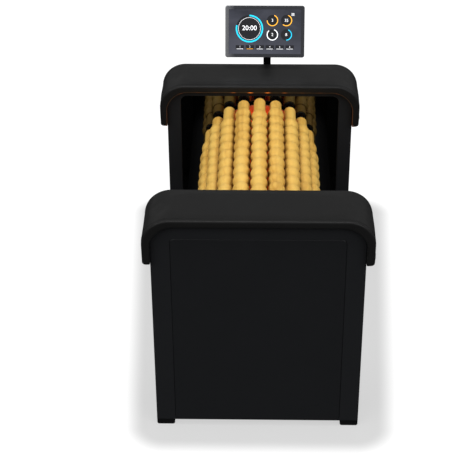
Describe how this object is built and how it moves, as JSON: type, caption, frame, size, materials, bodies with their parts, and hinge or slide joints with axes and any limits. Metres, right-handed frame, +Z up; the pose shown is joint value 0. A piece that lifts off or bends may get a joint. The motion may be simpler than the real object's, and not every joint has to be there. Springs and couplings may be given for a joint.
{
  "type": "roller drum body massager",
  "caption": "Floor-standing massage machine: padded towers carry a motor-driven drum of beaded wooden rollers, with a tilting touch display on a rear post.",
  "frame": {"origin": "on the floor, at the middle of the whole object's bounding box", "axes": "+X across the towers to the right as seen from the front tower, +Y from the front tower to the rear tower with the display, +Z up"},
  "size_m": [0.8, 1.26, 1.1557],
  "materials": {
    "moulded_shell": "moulded, satin black",
    "cover_black": "satin black",
    "panel_gloss": "gloss black",
    "upholstery": "charcoal imitation leather",
    "amber_diffuser": "translucent amber, lit from behind",
    "foot_black": "satin",
    "frame_steel": "grey primer",
    "casing_black": "satin black",
    "steel": "bright",
    "mirror_sheet": "polished",
    "lamp_glass": "ruby quartz tube",
    "disc_steel": "satin black",
    "nylon": "natural nylon",
    "beech": "clear varnish",
    "pulley_metal": "as machined",
    "belt_rubber": "ribbed",
    "motor_body": "cast",
    "control_case": "anodised",
    "inlet_plastic": "moulded",
    "rocker_plastic": "moulded",
    "post_steel": "satin black",
    "head_metal": "satin black",
    "display_case": "dark grey",
    "display_glass": "black glass over a lit panel"
  },
  "bodies": {
    "machine": {"front_shell": "moulded_shell", "rear_shell": "moulded_shell", "front_cover": "cover_black", "rear_cover": "cover_black", "cover_screws": "steel", "front_inner_panel": "panel_gloss", "rear_inner_panel": "panel_gloss", "front_pad": "upholstery", "rear_pad": "upholstery", "light_strips": "amber_diffuser", "feet": "foot_black", "front_frame": "frame_steel", "rear_frame": "frame_steel", "base_rails": "frame_steel", "lower_casing": "casing_black", "fixed_axle": "steel", "axle_clamps": "steel", "infrared_lamps": "lamp_glass", "lamp_reflector": "mirror_sheet", "drive_belt": "belt_rubber", "gearmotor": "motor_body", "control_unit": "control_case", "power_inlet": "inlet_plastic", "monitor_post": "post_steel", "post_brackets": "post_steel"},
    "drum": {"front_drum_disc": "disc_steel", "rear_drum_disc": "disc_steel", "hub_bearings": "steel", "roller_axles": "steel", "roller_sleeves": "nylon", "axle_nuts": "steel", "driven_pulley": "pulley_metal"},
    "roller_01": {"roller_01": "beech"},
    "roller_02": {"roller_02": "beech"},
    "roller_03": {"roller_03": "beech"},
    "roller_04": {"roller_04": "beech"},
    "roller_05": {"roller_05": "beech"},
    "roller_06": {"roller_06": "beech"},
    "roller_07": {"roller_07": "beech"},
    "roller_08": {"roller_08": "beech"},
    "roller_09": {"roller_09": "beech"},
    "roller_10": {"roller_10": "beech"},
    "roller_11": {"roller_11": "beech"},
    "roller_12": {"roller_12": "beech"},
    "roller_13": {"roller_13": "beech"},
    "roller_14": {"roller_14": "beech"},
    "roller_15": {"roller_15": "beech"},
    "roller_16": {"roller_16": "beech"},
    "roller_17": {"roller_17": "beech"},
    "roller_18": {"roller_18": "beech"},
    "roller_19": {"roller_19": "beech"},
    "roller_20": {"roller_20": "beech"},
    "drive_pulley": {"drive_pulley": "pulley_metal"},
    "idler_pulley": {"idler_pulley": "pulley_metal"},
    "power_switch": {"power_switch": "rocker_plastic"},
    "swivel_head": {"swivel_head": "head_metal"},
    "display": {"tilt_bracket": "head_metal", "tilt_pin": "steel", "monitor_housing": "display_case", "monitor_screen": "display_glass"}
  },
  "joints": [
    {"name": "drum_spin", "type": "hinge", "parent": "machine", "child": "drum", "pos_m": [0, -0.02, 0.628], "axis": [0, 1, 0], "continuous": true},
    {"name": "roller_01_spin", "type": "hinge", "parent": "drum", "child": "roller_01", "pos_m": [0, -0.02, 0.833], "axis": [0, 1, 0], "continuous": true},
    {"name": "roller_02_spin", "type": "hinge", "parent": "drum", "child": "roller_02", "pos_m": [0.06335, -0.02, 0.82297], "axis": [0, 1, 0], "continuous": true},
    {"name": "roller_03_spin", "type": "hinge", "parent": "drum", "child": "roller_03", "pos_m": [0.1205, -0.02, 0.79385], "axis": [0, 1, 0], "continuous": true},
    {"name": "roller_04_spin", "type": "hinge", "parent": "drum", "child": "roller_04", "pos_m": [0.16585, -0.02, 0.7485], "axis": [0, 1, 0], "continuous": true},
    {"name": "roller_05_spin", "type": "hinge", "parent": "drum", "child": "roller_05", "pos_m": [0.19497, -0.02, 0.69135], "axis": [0, 1, 0], "continuous": true},
    {"name": "roller_06_spin", "type": "hinge", "parent": "drum", "child": "roller_06", "pos_m": [0.205, -0.02, 0.628], "axis": [0, 1, 0], "continuous": true},
    {"name": "roller_07_spin", "type": "hinge", "parent": "drum", "child": "roller_07", "pos_m": [0.19497, -0.02, 0.56465], "axis": [0, 1, 0], "continuous": true},
    {"name": "roller_08_spin", "type": "hinge", "parent": "drum", "child": "roller_08", "pos_m": [0.16585, -0.02, 0.5075], "axis": [0, 1, 0], "continuous": true},
    {"name": "roller_09_spin", "type": "hinge", "parent": "drum", "child": "roller_09", "pos_m": [0.1205, -0.02, 0.46215], "axis": [0, 1, 0], "continuous": true},
    {"name": "roller_10_spin", "type": "hinge", "parent": "drum", "child": "roller_10", "pos_m": [0.06335, -0.02, 0.43303], "axis": [0, 1, 0], "continuous": true},
    {"name": "roller_11_spin", "type": "hinge", "parent": "drum", "child": "roller_11", "pos_m": [0, -0.02, 0.423], "axis": [0, 1, 0], "continuous": true},
    {"name": "roller_12_spin", "type": "hinge", "parent": "drum", "child": "roller_12", "pos_m": [-0.06335, -0.02, 0.43303], "axis": [0, 1, 0], "continuous": true},
    {"name": "roller_13_spin", "type": "hinge", "parent": "drum", "child": "roller_13", "pos_m": [-0.1205, -0.02, 0.46215], "axis": [0, 1, 0], "continuous": true},
    {"name": "roller_14_spin", "type": "hinge", "parent": "drum", "child": "roller_14", "pos_m": [-0.16585, -0.02, 0.5075], "axis": [0, 1, 0], "continuous": true},
    {"name": "roller_15_spin", "type": "hinge", "parent": "drum", "child": "roller_15", "pos_m": [-0.19497, -0.02, 0.56465], "axis": [0, 1, 0], "continuous": true},
    {"name": "roller_16_spin", "type": "hinge", "parent": "drum", "child": "roller_16", "pos_m": [-0.205, -0.02, 0.628], "axis": [0, 1, 0], "continuous": true},
    {"name": "roller_17_spin", "type": "hinge", "parent": "drum", "child": "roller_17", "pos_m": [-0.19497, -0.02, 0.69135], "axis": [0, 1, 0], "continuous": true},
    {"name": "roller_18_spin", "type": "hinge", "parent": "drum", "child": "roller_18", "pos_m": [-0.16585, -0.02, 0.7485], "axis": [0, 1, 0], "continuous": true},
    {"name": "roller_19_spin", "type": "hinge", "parent": "drum", "child": "roller_19", "pos_m": [-0.1205, -0.02, 0.79385], "axis": [0, 1, 0], "continuous": true},
    {"name": "roller_20_spin", "type": "hinge", "parent": "drum", "child": "roller_20", "pos_m": [-0.06335, -0.02, 0.82297], "axis": [0, 1, 0], "continuous": true},
    {"name": "drive_pulley_spin", "type": "hinge", "parent": "machine", "child": "drive_pulley", "pos_m": [0, -0.475, 0.25], "axis": [0, 1, 0], "continuous": true},
    {"name": "idler_pulley_spin", "type": "hinge", "parent": "machine", "child": "idler_pulley", "pos_m": [0.086, -0.475, 0.425], "axis": [0, 1, 0], "continuous": true},
    {"name": "power_switch_rock", "type": "hinge", "parent": "machine", "child": "power_switch", "pos_m": [0.215, 0.5685, 0.11], "axis": [1, 0, 0], "range_deg": [-16, 0]},
    {"name": "display_swivel", "type": "hinge", "parent": "machine", "child": "swivel_head", "pos_m": [0.029, 0.61, 0.97], "axis": [0, 0, 1], "range_deg": [-90, 90]},
    {"name": "display_tilt", "type": "hinge", "parent": "swivel_head", "child": "display", "pos_m": [0.029, 0.61, 1.03], "axis": [1, 0, 0], "range_deg": [-25, 20]}
  ],
  "couplings": [
    {"joint": "drive_pulley_spin", "follows": "drum_spin", "ratio": 2.7639},
    {"joint": "idler_pulley_spin", "follows": "drum_spin", "ratio": -3.7933}
  ]
}
